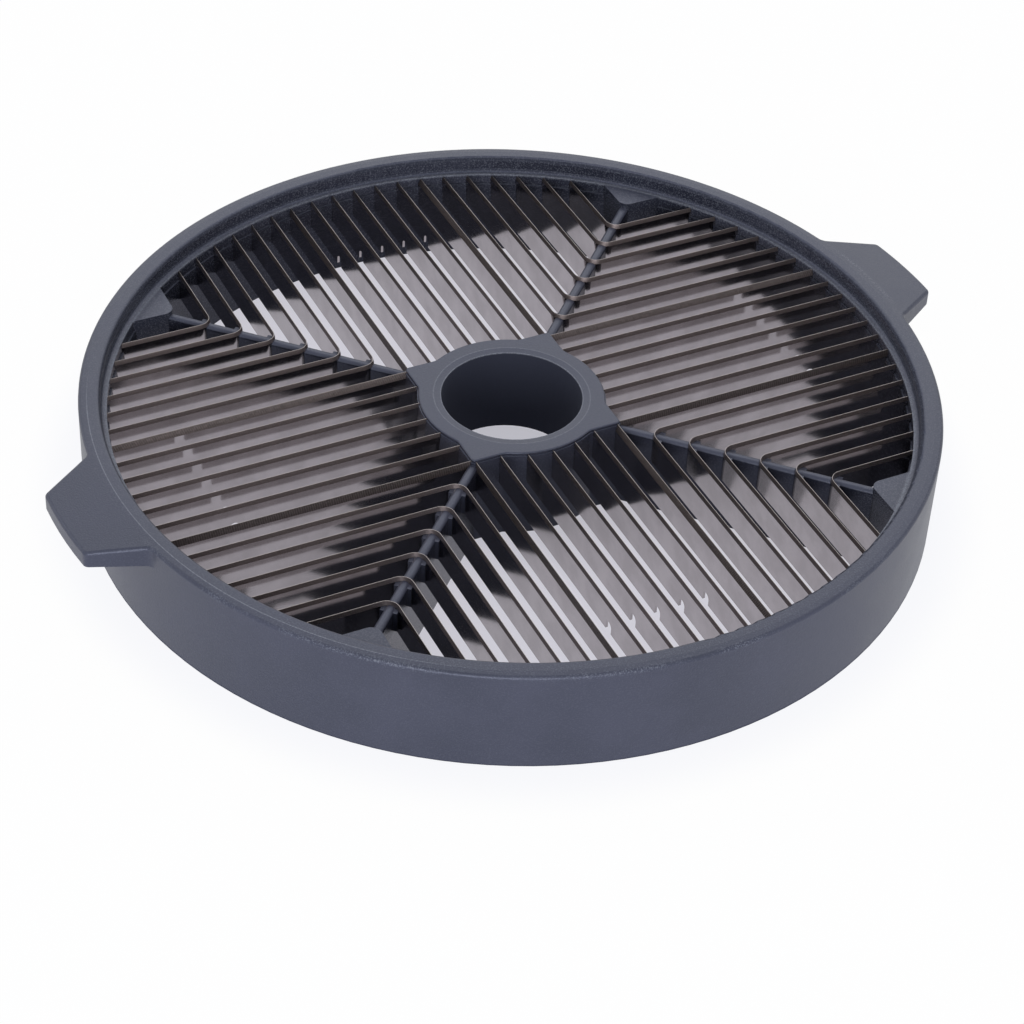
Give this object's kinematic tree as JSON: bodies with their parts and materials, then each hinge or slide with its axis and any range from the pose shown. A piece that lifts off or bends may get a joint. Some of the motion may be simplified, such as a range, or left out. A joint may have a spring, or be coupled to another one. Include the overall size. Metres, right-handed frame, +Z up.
{
  "type": "wedge cutting grid",
  "caption": "Round moulded ring with a hub, diagonal ribs and two side lugs, holding a square grid of thin steel blades that cut vegetables pushed through.",
  "frame": {"origin": "on the ring's axis at the base", "axes": "+Z up along the ring's axis with the cutting edges on top, X along the blades of the left and right sectors, Y along those of the front and back"},
  "size_m": [0.2248, 0.2008, 0.0262],
  "materials": {
    "frame": "fine-grained moulded dark blue-grey plastic",
    "blade": "satin stainless strip with a ground edge",
    "corner_blade": "satin stainless strip with a coarse ground bevel"
  },
  "bodies": {
    "root": {"frame": "frame", "bent_blade_back_right_1": "blade", "bent_blade_back_right_2": "blade", "bent_blade_back_right_3": "blade", "bent_blade_back_right_4": "blade", "bent_blade_back_right_5": "blade", "bent_blade_back_right_6": "blade", "bent_blade_back_left_1": "blade", "bent_blade_back_left_2": "blade", "bent_blade_back_left_3": "blade", "bent_blade_back_left_4": "blade", "bent_blade_back_left_5": "blade", "bent_blade_back_left_6": "blade", "bent_blade_front_left_1": "blade", "bent_blade_front_left_2": "blade", "bent_blade_front_left_3": "blade", "bent_blade_front_left_4": "blade", "bent_blade_front_left_5": "blade", "bent_blade_front_left_6": "blade", "bent_blade_front_right_1": "blade", "bent_blade_front_right_2": "blade", "bent_blade_front_right_3": "blade", "bent_blade_front_right_4": "blade", "bent_blade_front_right_5": "blade", "bent_blade_front_right_6": "blade", "straight_blade_right_1": "blade", "straight_blade_right_2": "blade", "straight_blade_right_3": "blade", "straight_blade_right_4": "blade", "straight_blade_right_5": "blade", "straight_blade_back_1": "blade", "straight_blade_back_2": "blade", "straight_blade_back_3": "blade", "straight_blade_back_4": "blade", "straight_blade_back_5": "blade", "straight_blade_left_1": "blade", "straight_blade_left_2": "blade", "straight_blade_left_3": "blade", "straight_blade_left_4": "blade", "straight_blade_left_5": "blade", "straight_blade_front_1": "blade", "straight_blade_front_2": "blade", "straight_blade_front_3": "blade", "straight_blade_front_4": "blade", "straight_blade_front_5": "blade", "corner_blade_right_1": "corner_blade", "corner_blade_right_2": "corner_blade", "corner_blade_back_1": "corner_blade", "corner_blade_back_2": "corner_blade", "corner_blade_left_1": "corner_blade", "corner_blade_left_2": "corner_blade", "corner_blade_front_1": "corner_blade", "corner_blade_front_2": "corner_blade"}
  },
  "joints": []
}
